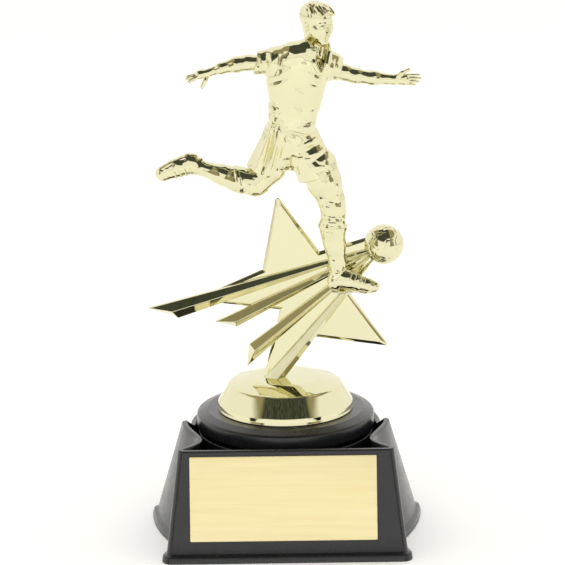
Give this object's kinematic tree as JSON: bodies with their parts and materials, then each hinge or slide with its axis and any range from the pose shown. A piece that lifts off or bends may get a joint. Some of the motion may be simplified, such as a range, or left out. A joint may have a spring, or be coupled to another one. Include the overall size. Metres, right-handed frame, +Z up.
{
  "type": "figure trophy",
  "caption": "Gold player figure running with a ball before a star with a comet trail, on a domed cap, round platform and hollow black base with a blank engraving plate.",
  "frame": {"origin": "on the stud's axis, in the plane that the trophy stands on", "axes": "+Z up along the stud's axis to the player's head; the front panel with the engraving plate faces -Y; +X to the viewer's right"},
  "size_m": [0.0941, 0.0912, 0.1851],
  "materials": {
    "gold_plating": "polystyrene, vacuum-metallised to a pale gold mirror under clear lacquer",
    "black_plastic": "satin black moulded plastic with a fine grain",
    "zinc_steel": "bright zinc-plated steel",
    "weight_iron": "rough cast iron, unpainted",
    "green_felt": "pressed felt",
    "foam_tape": "double-sided foam tape",
    "brushed_gold_plate": "satin aluminium, anodised pale gold, brushed lengthwise, left blank"
  },
  "bodies": {
    "base": {"base_shell": "black_plastic", "riser_drum": "black_plastic", "platform_cap": "black_plastic", "counterweight": "weight_iron", "base_felt": "green_felt", "plate_tape": "foam_tape", "engraving_plate": "brushed_gold_plate", "flat_washer": "zinc_steel"},
    "figure": {"figure_stud": "zinc_steel", "clamp_nut": "zinc_steel", "spring_washer": "zinc_steel", "dome_cap": "gold_plating", "star_plate": "gold_plating", "trail_bar_1": "gold_plating", "trail_bar_2": "gold_plating", "trail_bar_3": "gold_plating", "trail_bar_4": "gold_plating", "ball_front_half": "gold_plating", "ball_rear_half": "gold_plating", "player_front_half": "gold_plating", "player_rear_half": "gold_plating"}
  },
  "joints": [
    {"name": "figure_turn", "type": "hinge", "parent": "base", "child": "figure", "pos_m": [0, 0, 0.0407], "axis": [0, 0, 1], "continuous": true}
  ]
}
